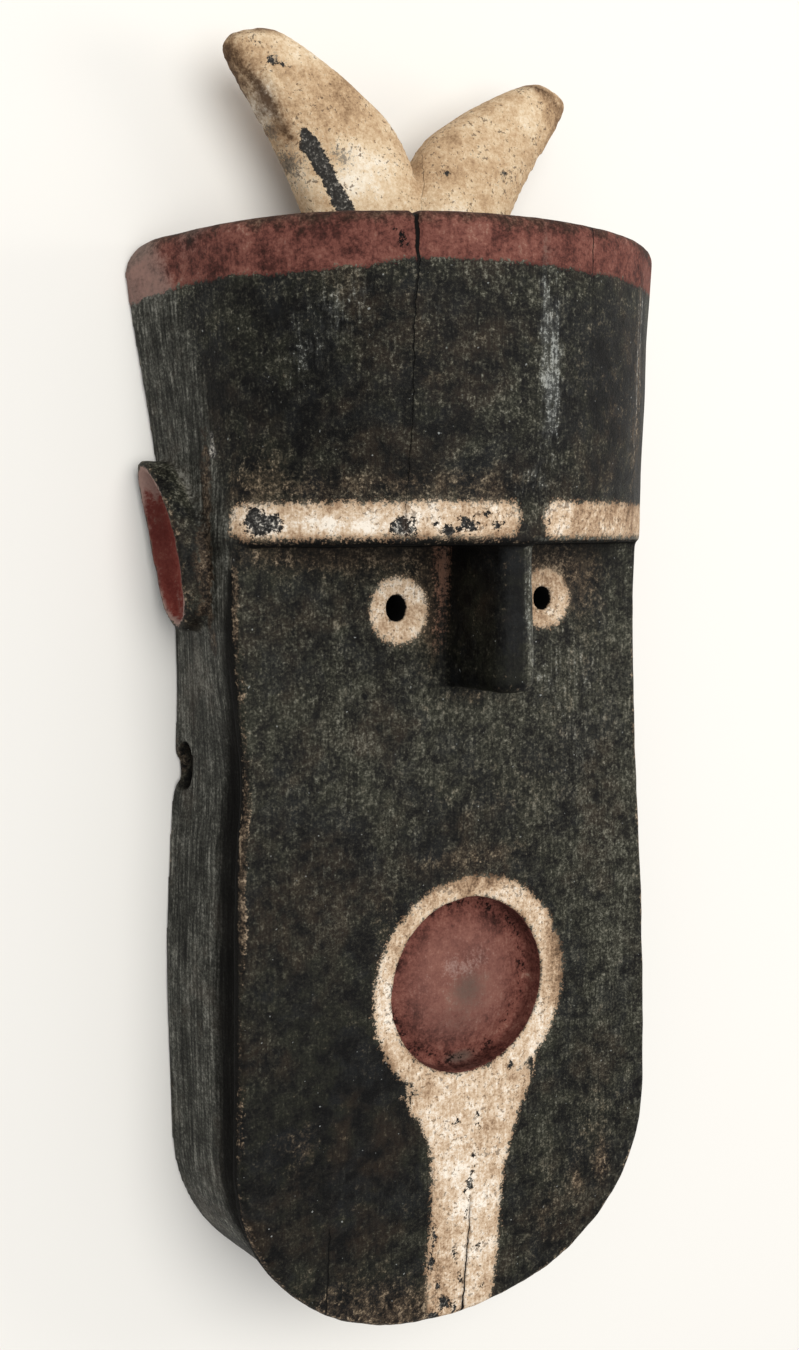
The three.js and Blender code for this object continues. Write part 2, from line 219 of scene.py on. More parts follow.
# Distance to one horn: superellipse sections across its middle line, each point belonging to the
# section whose plane passes nearest; the left horn's outer side is a flatter facet
def hornField(x, y, z, side):
    horn = maskShape["horn"]
    t = np.linspace(0, 7, 71)
    centreX, centreY, slope = (eased(t, horn, key) for key in ("x", "up", "slope"))
    length = np.hypot(1, slope)
    acrossX, acrossY = 1 / length, slope / length
    px, py = np.asarray(x, float), np.asarray(y, float)
    if side > 0:
        right = maskShape["rightHorn"]
        py = py + right["drop"] * np.clip((py - 125) / 60, 0, 1)
        px = (right["shift"] - px) / right["scale"]
    px, py = np.broadcast_arrays(px, py)
    best = np.full(px.shape, 1e9)
    spot = np.zeros(px.shape)
    for k in range(len(t)):
        along = acrossX[k] * (py - centreY[k]) - acrossY[k] * (px - centreX[k])
        out = acrossX[k] * (px - centreX[k]) + acrossY[k] * (py - centreY[k])
        gap = np.abs(along) + 3 * np.maximum(np.abs(out) - horn["reach"], 0)
        nearer = gap < best
        best = np.where(nearer, gap, best)
        spot = np.where(nearer, t[k], spot)

    def fromSection(spot):          # how far out from the section at spot, and how far past its plane
        cx, cy, rise = (np.interp(spot, t, v) for v in (centreX, centreY, slope))
        length = np.hypot(1, rise)
        out = (px - cx) / length + rise / length * (py - cy)
        return out, (py - cy) / length - rise / length * (px - cx)

    run = np.interp(spot, t, np.gradient(centreY, t[1] - t[0]))
    spot = np.clip(spot + fromSection(spot)[1] / np.maximum(run, 4), 0, 7)
    out, past = fromSection(spot)
    width = eased(spot, horn, "width")
    thick = eased(spot, horn, "thick")
    dz = z - maskShape["hornZ"]
    power = maskShape["hornRoundness"]
    reach = ((np.abs(out) / width) ** power + (np.abs(dz) / thick) ** power) ** (1 / power)
    body = (reach - 1) * np.hypot(out, dz) / np.maximum(reach, 1e-6)
    facet = 0.42 * (-out - 0.5 * width) + 0.91 * (dz - 0.93 * thick)
    body = smoothMax(body, facet, 5)
    body = smoothMax(body, past - 0.5, 4)
    return np.maximum(body, 108 - y)


def mouthField(x, y, z):            # distance to the mouth's sinking, with a low dome for its floor
    r = np.hypot(x - mouth["x"], y - mouth["y"])
    rise = mouth["dome"] * np.clip(1 - (r / mouth["radius"]) ** 2, 0, 1)
    return smoothMax(r - mouth["radius"], rise - mouth["depth"] - z, 3)


# Distance to the cord hole, which rises on its way in, and to the chip out of the edge behind it
def cordHoleField(x, y, z):
    hole, chip = maskShape["cordHole"], maskShape["edgeChip"]
    level = z - hole["z"] - (x - hole["x"]) * math.tan(math.radians(hole["tilt"]))
    bore = (np.hypot((y - hole["y"]) / hole["height"], level / hole["width"]) - 0.5) * hole["width"]
    bore = np.maximum(bore, x + 72)
    oval = np.sqrt(((x - chip["x"]) / chip["depth"]) ** 2 + ((y - chip["y"]) * 2 / chip["height"]) ** 2
                   + ((z - chip["z"]) / chip["rise"]) ** 2) - 1
    return np.minimum(bore, oval * chip["rise"])


# The hollow: a tray behind the face plate, running into a deeper vault behind the forehead
def hollowField(y, z, outline, roundFront, wall):
    thickness = maskShape["wallThickness"]
    side = outline + (wall - outline) * ramp(y, -8, 8) + thickness
    tray = smoothMax(side, z + maskShape["plateThickness"], 10)
    tray = np.maximum(tray, y - 24)
    vault = smoothMax(roundFront + thickness, wall + thickness, 10)
    vault = smoothMax(vault, y - rim["height"] + thickness, 9)
    vault = smoothMax(vault, 15 - y, 4)
    return smoothMin(tray, vault, 8)


# Distance to the whole mask, below zero inside the wood. The block is the forehead and the face
# joined, the ears, nose and horns are added, and the hollow, mouth, eyes and cord hole are cut.
# Forms that don't reach the heights asked for are passed over.
def maskField(x, y, z):
    low, high = float(np.min(y)), float(np.max(y))
    rounding = maskShape["rounding"]
    outline = faceOutline(x, y, z)
    block = smoothMax(outline, z, rounding["plate"])
    block = smoothMax(block, y - 3, rounding["plateTop"])
    if high > -34:
        roundFront, wall = foreheadSides(x, np.maximum(y, 0), z)
        flank = outline + (wall - outline) * ramp(y, -32, 0)
        flank = smoothMax(flank, z + 8, rounding["flank"])
        flank = smoothMax(flank, np.maximum(y - 6, -32 - y), rounding["flankEnds"])
        top = smoothMax(roundFront, wall, rounding["forehead"])
        top = smoothMax(top, y - rimLevel(x), rounding["rimTop"])
        top = smoothMax(top, -y, rounding["browLedge"])
        block = smoothMin(smoothMin(block, flank, rounding["flankFoot"]), top, rounding["browFoot"])
    else:
        roundFront = wall = outline
    if high > -64 and low < 8:
        block = smoothMin(block, noseField(x, y, z), rounding["nose"])
    if high > -38 and low < 38:
        for side in (-1, 1):
            body, cup = earField(x, y, z, side)
            block = smoothMax(smoothMin(block, body, rounding["ear"]), -cup, rounding["cup"])
    if high > 108:
        horns = np.minimum(hornField(x, y, z, -1), hornField(x, y, z, 1))
        block = smoothMin(block, horns, rounding["horns"])
    if low < mouth["y"] + 44 and high > mouth["y"] - 44:
        block = smoothMax(block, -mouthField(x, y, z), rounding["mouth"])
    if high > -42 and low < -10:
        for eye in maskShape["eyes"]:
            across = (x - eye["x"]) / eye["width"]
            up = (y - eye["y"]) / eye["height"]
            hole = (np.hypot(across, up) - 0.5) * eye["width"]
            block = smoothMax(block, -hole, rounding["eye"])
    block = smoothMax(block, -hollowField(y, z, outline, roundFront, wall), rounding["hollow"])
    if high > -104 and low < -72:
        block = smoothMax(block, -cordHoleField(x, y, z), rounding["cordHole"])
    return smoothMax(block, floorZ - z, rounding["back"])


# The skin of a field of distances on a grid: one vertex in each cell that the surface crosses, at
# the mean of its edge crossings, and one quad round each grid edge that is crossed
def skinOf(field, low, step):
    inside = field < 0
    cellShape = tuple(n - 1 for n in field.shape)
    count = np.zeros(cellShape, np.int8)
    for i, j, k in np.ndindex(2, 2, 2):
        count += inside[i:i + cellShape[0], j:j + cellShape[1], k:k + cellShape[2]]
    cells = np.argwhere((count > 0) & (count < 8))
    order = np.full(cellShape, -1, np.int32)
    order[tuple(cells.T)] = np.arange(len(cells))
    total = np.zeros((len(cells), 3))
    hits = np.zeros(len(cells))
    quads = []
    for axis in range(3):
        u, v = (axis + 1) % 3, (axis + 2) % 3
        for du, dv in np.ndindex(2, 2):
            start = cells.copy()
            start[:, u] += du
            start[:, v] += dv
            end = start.copy()
            end[:, axis] += 1
            a, b = field[tuple(start.T)], field[tuple(end.T)]
            crossed = (a < 0) != (b < 0)
            point = start.astype(float)
            point[:, axis] += np.where(crossed, a / np.where(crossed, a - b, 1), 0)
            total += point * crossed[:, None]
            hits += crossed
        nearSide = np.take(inside, range(field.shape[axis] - 1), axis)
        farSide = np.take(inside, range(1, field.shape[axis]), axis)
        edges = np.argwhere(nearSide != farSide)
        unitU, unitV = np.eye(3, dtype=int)[u], np.eye(3, dtype=int)[v]
        around = [order[tuple((edges - shift).T)] for shift in (unitU + unitV, unitV, 0 * unitU, unitU)]
        quad = np.stack(around, axis=1)
        turned = ~nearSide[tuple(edges.T)]
        quad[turned] = quad[turned][:, ::-1]
        quads.append(quad)
    return total / hits[:, None] * step + low, np.concatenate(quads)


def corners(part):                  # the eight corners of a unit cell and their shares at places in it
    for corner in np.ndindex(2, 2, 2):
        yield corner, np.where(corner, part, 1 - part).prod(axis=1)


def sampled(grid, low, step, points):       # a grid's values at points, straight lines between
    at = np.clip((points - low) / step, 0, np.array(grid.shape) - 1.001)
    base = at.astype(int)
    return sum(share * grid[tuple((base + corner).T)] for corner, share in corners(at - base))


def slopeOf(grid, low, step, points):       # the direction in which a grid's values grow
    reach = step * 0.8
    parts = []
    for axis in range(3):
        shift = np.zeros(3)
        shift[axis] = reach
        parts.append(sampled(grid, low, step, points + shift) - sampled(grid, low, step, points - shift))
    slope = np.stack(parts, axis=1)
    return slope / np.maximum(np.linalg.norm(slope, axis=1, keepdims=True), 1e-9)


# Smooth noise of about -1 to 1 at points: random values on a lattice of the given spacings in
# millimetres, eased between its corners
def latticeNoise(points, spacing, seed):
    table = np.random.default_rng(seed).uniform(-1, 1, 4096)
    at = points / np.asarray(spacing, float) + 1000
    base = np.floor(at).astype(np.int64)
    part = at - base
    value = 0
    for corner, share in corners(part * part * (3 - 2 * part)):
        mixedX, mixedY, mixedZ = ((base + corner) * (73856093, 19349663, 83492791)).T   # large primes
        value = value + share * table[(mixedX ^ mixedY ^ mixedZ) % len(table)]
    return value


# Cracks in the wood, from left to right: points up each crack as (x, y, half width)
cracks = dict(
    chinLeft=[(-64.5, -312, 0.2), (-63.0, -290, 0.25), (-62.0, -271, 0.15)],
    forehead=[(-45.2, 4, -0.03), (-45.1, 20, 0.0), (-44.7, 27, 0.03), (-44.1, 37, 0.05),
              (-44.0, 59, 0.08), (-43.7, 73, 0.13), (-43.4, 87, 0.2), (-42.6, 97, 0.32),
              (-42.7, 103, 0.45), (-42.4, 110, 0.65), (-42.1, 121, 0.7)],
    horns=[(-2.0, 121, -0.04), (-1.5, 138, -0.06), (0.8, 150, -0.05), (2.6, 160, -0.06)],
    chin=[(0.5, -327, 1.0), (1.4, -318, 0.35), (2.2, -305, 0.2), (4.2, -292, 0.25), (4.9, -276, 0.0)],
    right=[(30.7, 70, -0.1), (30.9, 96, 0.0), (30.6, 104, 0.16), (30.6, 118, 0.2)],
)


# Signed distance across the nearest crack and the crack's half width there, below zero where there
# is none. The sign turns from one crack to the next, so that it stays the same between them.
def crackLines(x, y, z):
    nearest = np.full(np.shape(x), 1e3)
    away = np.full(np.shape(x), 20.0)
    half = np.full(np.shape(x), -5.0)
    for k, line in enumerate(cracks.values()):
        lineX, lineY, lineHalf = np.array(line).T
        past = np.maximum(np.maximum(y - lineY[-1], lineY[0] - y), 0)
        offset = (x - np.interp(y, lineY, lineX)) * (-1) ** k
        closer = np.abs(offset) + 3 * past < nearest
        nearest = np.where(closer, np.abs(offset) + 3 * past, nearest)
        away = np.where(closer, offset, away)
        half = np.where(closer, np.interp(y, lineY, lineHalf) - 0.3 * past, half)
    return away, np.where(z > -45, half, -5.0)


print("working out the carved block")

# The grid that the surface is worked out on, in millimetres, filled in slabs to save memory
room = dict(low=[-119.0, -328.0, -64.0], high=[119.0, 202.0, 57.0], cell=1.25, slab=16)
low, cell, slab = np.array(room["low"]), room["cell"], room["slab"]
gridX, gridY, gridZ = (np.arange(a, b + cell, cell, dtype=np.float32) for a, b in zip(low, room["high"]))
field = np.concatenate([
    maskField(gridX[:, None, None], gridY[None, k:k + slab, None], gridZ[None, None, :]).astype(np.float32)
    for k in range(0, len(gridY), slab)
], axis=1)
points, quads = skinOf(field, low, cell)
for _ in range(2):
    points = points - sampled(field, low, cell, points)[:, None] * slopeOf(field, low, cell, points)
print("skin:", len(points), "vertices")


# Share of wood within a few millimetres of each grid point, from running sums along each axis:
# under a half at an outer edge, over a half in a corner
def woodShare(reach):
    share = (field < 0).astype(np.float32)
    span = int(round(reach / cell))
    for axis in range(3):
        padded = np.concatenate([np.zeros_like(np.take(share, [0], axis)), np.cumsum(share, axis)], axis)
        size = share.shape[axis]
        upper = np.minimum(np.arange(size) + span + 1, size)
        lower = np.maximum(np.arange(size) - span, 0)
        share = (np.take(padded, upper, axis) - np.take(padded, lower, axis)) / (2 * span + 1)
    return share


nearWood = woodShare(5.0)
wideWood = woodShare(15.0)

# Tool and weather marks left in the surface, in millimetres
relief = dict(sway=0.55, facets=0.4, ripple=0.14, gouges=0.8, edgeWear=0.9, nickDepth=1.2)


# How far each point is from the hollow's surface: near zero on the inner walls
def innerWall(p):
    x, y, z = p.T
    outline = faceOutline(x, y, z)
    roundFront, wall = foreheadSides(x, np.maximum(y, 0), z)
    return hollowField(y, z, outline, roundFront, wall)


# The carver's marks: slow sway, adze facets drawn out along the grain, fine ripple, scooped gouges
# in the hollow, edges worn unevenly, and a nick where the widest crack opens at the rim
def carverMarks(p):
    x, y, z = p.T
    inner = ramp(innerWall(p), 3, 1)
    hornPart = ramp(y, 114, 122)
    sway = relief["sway"] * latticeNoise(p, (46, 60, 46), 11)
    facets = relief["facets"] * (1 - hornPart) * (np.abs(latticeNoise(p, (19, 52, 19), 12)) - 0.35)
    ripple = relief["ripple"] * (1 - 0.6 * hornPart) * latticeNoise(p, (4.5, 11, 4.5), 13)
    scoop = (x + 6 * latticeNoise(p, (30, 60, 30), 14)) / 15
    depth = 1 + 0.5 * latticeNoise(p, (14, 34, 14), 15)
    gouges = relief["gouges"] * (np.abs(np.sin(np.pi * scoop)) - 0.6) * depth
    convex = np.clip(0.5 - sampled(nearWood, low, cell, p), 0, 0.5) * 2
    worn = 0.6 * latticeNoise(p, (9, 9, 9), 16) + 0.5 * latticeNoise(p, (3.5, 5, 3.5), 17) - 0.3
    worn = relief["edgeWear"] * (1 - 0.7 * hornPart) * convex * worn
    away, half = crackLines(x, y, z)
    nick = ramp(half - np.abs(away), -1.4, 0.2) * ramp(half, 0.4, 0.7) * ramp(y, 100, 118)
    nick = -relief["nickDepth"] * nick
    eyeGap = np.minimum(*(np.hypot(x - eye["x"], y - eye["y"]) for eye in maskShape["eyes"]))
    lift = (1 - inner) * ((sway + facets + ripple) * ramp(eyeGap, 5, 12) + nick) + inner * (gouges + ripple)
    return (lift + worn) * ramp(z, floorZ, floorZ + 3)


points = points + slopeOf(field, low, cell, points) * carverMarks(points)[:, None]

# Where the middle of the brow line lies in the part's own frame, in millimetres. The surface is kept
# inside the solid's box.
origin = np.array([0.0, cadBox[0][1] / millimetre - (chin["top"] - chin["drop"]), -floorZ])
boxLow, boxHigh = (np.array(corner) / millimetre - origin for corner in cadBox)
points = np.clip(points, boxLow, boxHigh)


def readRows(items, key):           # one value of each mesh element, as rows of three numbers
    rows = np.empty(3 * len(items), np.float32)
    items.foreach_get(key, rows)
    return rows.reshape(-1, 3)


skin = bpy.data.meshes.new("maskSkin")
skin.from_pydata((points + origin) * millimetre, [], quads)
skin.validate()
mask = bpy.data.objects.new("paintedWood", skin)
bpy.context.scene.collection.objects.link(mask)
thin = mask.modifiers.new("thin", "DECIMATE")
thin.ratio = maskShape["triangles"] / (2 * len(quads))
mask.data = bpy.data.meshes.new_from_object(mask.evaluated_get(bpy.context.evaluated_depsgraph_get()))
mask.modifiers.clear()
kept = np.clip(readRows(mask.data.vertices, "co"), *np.array(cadBox))   # thinning may overshoot a little
mask.data.vertices.foreach_set("co", kept.astype(np.float32).ravel())
mask.data.shade_smooth()
print("mask:", len(mask.data.polygons), "faces")

# Where the paints lie, in millimetres
paintPlan = dict(
    band=dict(x=[-114, -103, -94, -84, -61, -42], level=[94.5, 98.0, 98.3, 97.3, 98.6, 101.5]),
    brow=dict(low=2.4, high=15.4, leftStart=-96.5, leftEnd=-1.5, rightStart=10.5, corner=5.0),
    rings=[(-26.8, -25.9, 13.1), (44.4, -23.0, 12.3)],
    mouthRing=dict(x=6.5, y=-184.2, radius=47.0, join=6.0),
    handle=dict(
        y=[-326, -310, -299, -281, -263, -251, -240, -226],
        left=[-16.0, -16.8, -16.6, -14.5, -13.8, -14.2, -18.4, -27.0],
        right=[14.6, 17.4, 18.8, 20.4, 23.0, 27.0, 31.0, 40.0],
    ),
)

# Spots where the paint has flaked to the black under it: (x, y, half width, half height)
flakes = dict(
    band=[(-48.3, 110.5, 1.5, 1.4), (-47.2, 107.2, 1.3, 2.2)],
    brow=[(-89.2, 8.5, 3.2, 6.0), (-86, 8.0, 3.4, 3.6), (-47, 6.2, 3.4, 4.0), (-43, 6.5, 2.2, 4.0),
          (-34.2, 8.0, 1.5, 2.2), (-30, 4.2, 2.4, 2.2), (-24.0, 7.0, 2.0, 2.6), (-21.0, 6.6, 1.8, 2.8),
          (-15.5, 12.2, 2.6, 1.5), (-12, 6.4, 2.4, 1.1), (-8.0, 9.5, 0.9, 1.6), (12.5, 8.0, 1.0, 1.4)],
    ring=[(37, -222, 1.6, 2.2), (-37, -150, 1.5, 2.0), (26.0, -221.0, 1.2, 2.0), (49, -165, 1.5, 2.5)],
    handle=[(-2, -240, 1.0, 3.0), (9.0, -241, 1.1, 3.6), (7.0, -256, 1.0, 4.0), (5.5, -268, 1.4, 4.0),
            (3.0, -279, 1.0, 4.0), (-3.0, -296, 1.8, 2.6), (9.5, -297, 2.0, 1.6), (0.5, -309, 1.4, 2.8),
            (-9, -318, 3.0, 2.5), (-12, -309, 2.0, 2.0), (-14, -323, 3.0, 3.0), (-3.5, -321, 1.6, 2.2),
            (-14.5, -299, 1.4, 3.2), (-13, -286, 1.0, 2.6), (11, -314, 1.0, 1.8)],
    horns=[(-67.2, 184.2, 2.0, 1.4), (-63.0, 183, 1.0, 0.8), (-72.5, 189.5, 1.4, 0.8),
           (37.4, 153.7, 1.8, 1.0), (40, 152.5, 0.8, 1.2), (8.9, 150.2, 1.6, 0.5)],
)

# Soft spots: (x, y, half width, half height, strength). Chalk is thick white paint, and below zero
# paint worn thin; haze is brown rubbed in; scuff is where a paint is rubbed grey, and down the
# forehead's ridge and left corner a painted glint as well; the spots that deepen the black, and below
# zero lighten it, are partly the paint's own tone and partly painted shade on the forehead's left and
# right and the lower left, and painted light down the middle and right of the face and the ridge;
# smear is red-brown wiped over it; grey is grime on the mouth's floor.
softSpots = dict(
    chalk=[(-81.5, 6.0, 5, 3.5, 0.8), (-71, 7.5, 9, 4.5, 1.0), (-58, 5.8, 4.5, 3.5, 1.2),
           (-46.5, 6, 1.5, 2, 1.5), (-33, 6, 5, 3, 0.5), (-12, 12, 3, 4, 0.9), (17, 5, 5, 2.5, 0.9),
           (60, 9, 44, 9, -1.1), (-48, 14.8, 60, 2.6, -0.6), (-48, 2.4, 70, 1.8, -1.2),
           (-28, -190, 7, 22, 0.4), (-30, -165, 6, 10, -0.4), (10, -138, 30, 6, -1.8),
           (51, -172, 6, 26, -1.7), (34, -214, 14, 6, 0.4), (3, -238, 18, 8, 0.3),
           (14, -252, 8, 14, -0.3), (2, -262, 8, 16, 0.6), (6, -280, 10, 14, 0.7),
           (12, -306, 7, 12, -0.3), (-11, -313, 9, 16, -1.2), (-14, -280, 4, 30, -0.6),
           (-38, -200, 4, 22, -0.3), (-26.6, -25.4, 18, 18, -0.05), (43, -22.7, 18, 18, -0.4),
           (-22, 150, 11, 24, 0.5), (-68, 158, 7, 18, 1.4), (-34, 146, 12, 14, 0.9),
           (-58, 140, 9, 9, 0.8), (51, 179, 8, 6, 0.9), (-50, 190, 20, 6, 0.5), (12, 132, 12, 6, 0.5)],
    haze=[(-38, 66, 9, 14, 0.3), (-60, 96, 22, 7, 0.3), (-40, 21, 52, 6, 0.7), (-88, 26, 10, 12, 0.6),
          (-56, -4, 46, 6, 1.2), (-11, -18, 5, 26, 1.0), (-14, -24, 12, 22, 0.6), (42, -8, 26, 9, 1.2),
          (62, -20, 12, 18, 0.7), (-30, -20, 26, 18, 0.35), (8, -62, 16, 4, 0.7),
          (60, -66, 30, 30, 0.25), (20, -104, 50, 18, 0.25), (72, -256, 14, 34, 0.35),
          (75, -276, 4, 6, 1.0), (61, -281, 3, 5, 0.8), (48, -292, 18, 26, 0.35),
          (-56, -303, 26, 12, 0.6), (-26, -316, 26, 9, 1.1), (-74, -236, 12, 12, 0.4),
          (10, -130, 30, 6, 0.6), (-34, -150, 10, 12, 0.4), (-76, 184, 10, 9, 0.7),
          (-62, 166, 5, 12, 0.6), (-50, 178, 12, 12, 0.2), (8, 150, 12, 5, 0.5), (64, 184, 9, 5, 0.7),
          (-36, 170, 8, 18, 0.3), (69, 66, 4.5, 50, 0.7), (52, 58, 30, 46, 0.3)],
    scuffAndGlint=[(71.5, 84, 1.3, 30, 1.3), (67.5, 66, 1.2, 44, 1.3), (5.8, 90, 2.2, 32, 1.05),
           (11.0, 74, 2.6, 26, 1.05), (9.0, 52, 6, 22, 0.95), (-68, 82, 9, 12, 0.6), (-60, 91, 4, 4, 0.8),
           (-77, 66, 6, 10, 0.5), (-40, 84, 10, 10, 0.25), (3, 22, 14, 8, 0.5), (64, -80, 20, 40, 0.35),
           (-55, -110, 26, 40, 0.2), (44, -52, 26, 16, 0.4), (-64.5, 158, 2.4, 5, 2.2),
           (-58.5, 147.5, 2.8, 4.5, 2.0), (37, 152, 3.0, 5, 1.0), (-40, 151, 5, 4, 0.9),
           (-66, 185, 5, 3, 0.9), (-56, 144, 12, 16, 0.7), (-38, 150, 7, 7, 0.5), (6, -177, 9, 4, 0.9),
           (0, -174, 4, 4, 0.6), (15, -172, 6, 5, 0.5), (26, -202, 7, 12, 0.35), (-14, -182, 8, 5, 0.3)],
    # the black's own depth, with painted shade where positive and painted light where below zero
    deepBlackAndShade=[(-60, -232, 50, 70, 2.7), (-86, 60, 22, 60, 1.2), (-62, 44, 26, 30, 0.5),
           (-14, 56, 60, 44, 0.9), (0, -64, 100, 56, -1.1), (76, -60, 34, 70, -1.0),
           (82, -180, 28, 70, -1.2), (9, 70, 14, 40, -1.3), (64, 52, 40, 60, 2.0),
           (-40, -316, 60, 16, 0.8)],
    smear=[(-7.0, -6, 4.0, 9, 1.2), (-7.0, -20, 3.0, 9, 0.8), (-9, -36, 4.0, 10, 0.4)],
    grey=[(8, -186, 7, 7, 1.0), (10, -190, 14, 12, 0.4), (2, -203, 14, 8, 0.35), (6.5, -217, 7, 2.5, 1.6)],
)

# The left horn's long black flake and marks along lines: points as (x, y, half width)
hornFlake = [(-54, 159, 1.8), (-51.5, 155, 3.6), (-46.5, 147.5, 2.8), (-42, 140, 3.0), (-37.5, 132, 3.6)]
stainPaths = dict(
    hornEdge=[(-84, 190, 2.6), (-78.5, 183, 1.8), (-71.5, 176, 1.8), (-64.5, 166, 1.8), (-58, 157, 0.8)],
    hornTip=[(-86, 190, 2.2), (-78, 196.5, 1.4), (-64, 197.5, 0.6)],
    rightTip=[(49, 194, 0.4), (60, 191.5, 1.0), (70, 185, 1.2)],
)


def softSum(x, y, spots):           # strengths of soft spots added up, each falling off as a bell
    total = np.zeros(x.shape)
    for cx, cy, halfWidth, halfHeight, strength in spots:
        total += strength * np.exp(-((x - cx) / halfWidth) ** 2 - ((y - cy) / halfHeight) ** 2)
    return total


def ovals(x, y, spots):             # distance to the nearest of several ovals
    gap = np.full(x.shape, 30.0)
    for cx, cy, halfWidth, halfHeight in spots:
        reach = np.hypot((x - cx) / halfWidth, (y - cy) / halfHeight)
        gap = np.minimum(gap, (reach - 1) * min(halfWidth, halfHeight))
    return gap


def pathGap(x, y, path):            # distance to a line through points of their own half width
    gap = np.full(x.shape, 30.0)
    for (ax, ay, aw), (bx, by, bw) in zip(path, path[1:]):
        length = (bx - ax) ** 2 + (by - ay) ** 2
        t = np.clip(((x - ax) * (bx - ax) + (y - ay) * (by - ay)) / length, 0, 1)
        gap = np.minimum(gap, np.hypot(x - ax - t * (bx - ax), y - ay - t * (by - ay)) - aw - t * (bw - aw))
    return gap


# Distance to the pale paint's edge: brow strips, eye rings and the spoon round the mouth
def palePaint(x, y, z):
    brow = paintPlan["brow"]
    mid = (brow["low"] + brow["high"]) / 2
    half = (brow["high"] - brow["low"]) / 2
    corner = brow["corner"]

    def strip(start, end):
        across = np.abs(x - (start + end) / 2) - (end - start) / 2 + corner
        up = np.abs(y - mid) - half + corner
        outside = np.hypot(np.maximum(across, 0), np.maximum(up, 0))
        return outside + np.minimum(np.maximum(across, up), 0) - corner

    strips = np.minimum(strip(brow["leftStart"], brow["leftEnd"]), strip(brow["rightStart"], 130))
    strips = np.maximum(strips, -6.5 - z)
    rings = np.full(x.shape, 30.0)
    for cx, cy, radius in paintPlan["rings"]:
        rings = np.minimum(rings, np.hypot(x - cx, y - cy) - radius)
    ring = paintPlan["mouthRing"]
    circle = np.hypot(x - ring["x"], y - ring["y"]) - ring["radius"]
    left, right = (eased(y, paintPlan["handle"], key) for key in ("left", "right"))
    stem = np.maximum(np.maximum(left - x, x - right), y + 226)
    reach = np.hypot(x - mouth["x"], y - mouth["y"])
    inside = np.where((z < -1.5) & (reach < 42), 8.0, mouth["radius"] + 0.6 - reach)
    flat = np.minimum(rings, np.maximum(smoothMin(circle, stem, ring["join"]), inside))
    flat = np.where((z < 3) & (z > -9), flat, 30.0)
    return np.minimum(np.where((y > 0) & (z > -9), strips, 30.0), flat)


# Distance to the red-brown paint's edge: the rim's band, the mouth's sinking and the ear cups
def redPaint(x, y, z):
    band = np.interp(x, paintPlan["band"]["x"], paintPlan["band"]["level"]) - y
    reach = np.hypot(x - mouth["x"], y - mouth["y"])
    mouthEdge = np.where((z < -1.2) & (reach < 42), -6.0, reach - mouth["radius"] - 0.5)
    mouthEdge = np.where((z < 4) & (z > -14), mouthEdge, 30.0)
    cups = np.full(x.shape, 30.0)
    for side in (-1, 1):
        cup = earField(x, y, z, side)[1]
        cups = np.minimum(cups, np.where(side * x > 98, np.where(cup < 0.5, -8.0, cup - 0.9), 30.0))
    return np.minimum(np.minimum(band, mouthEdge), cups)


# How far down inside an eye or the cord hole, in millimetres, and below zero outside them: the depth at
# which painted shade fills the holes
def holeDepth(x, y, z):
    deep = np.full(x.shape, -5.0)
    for eye in maskShape["eyes"]:
        reach = np.hypot((x - eye["x"]) / eye["width"], (y - eye["y"]) / eye["height"])
        deep = np.maximum(deep, np.where(reach < 0.75, np.minimum(-z, 5.0), -5.0))
    return np.maximum(deep, np.where(x < -80, 1.0 - cordHoleField(x, y, z) * 2, -5.0))


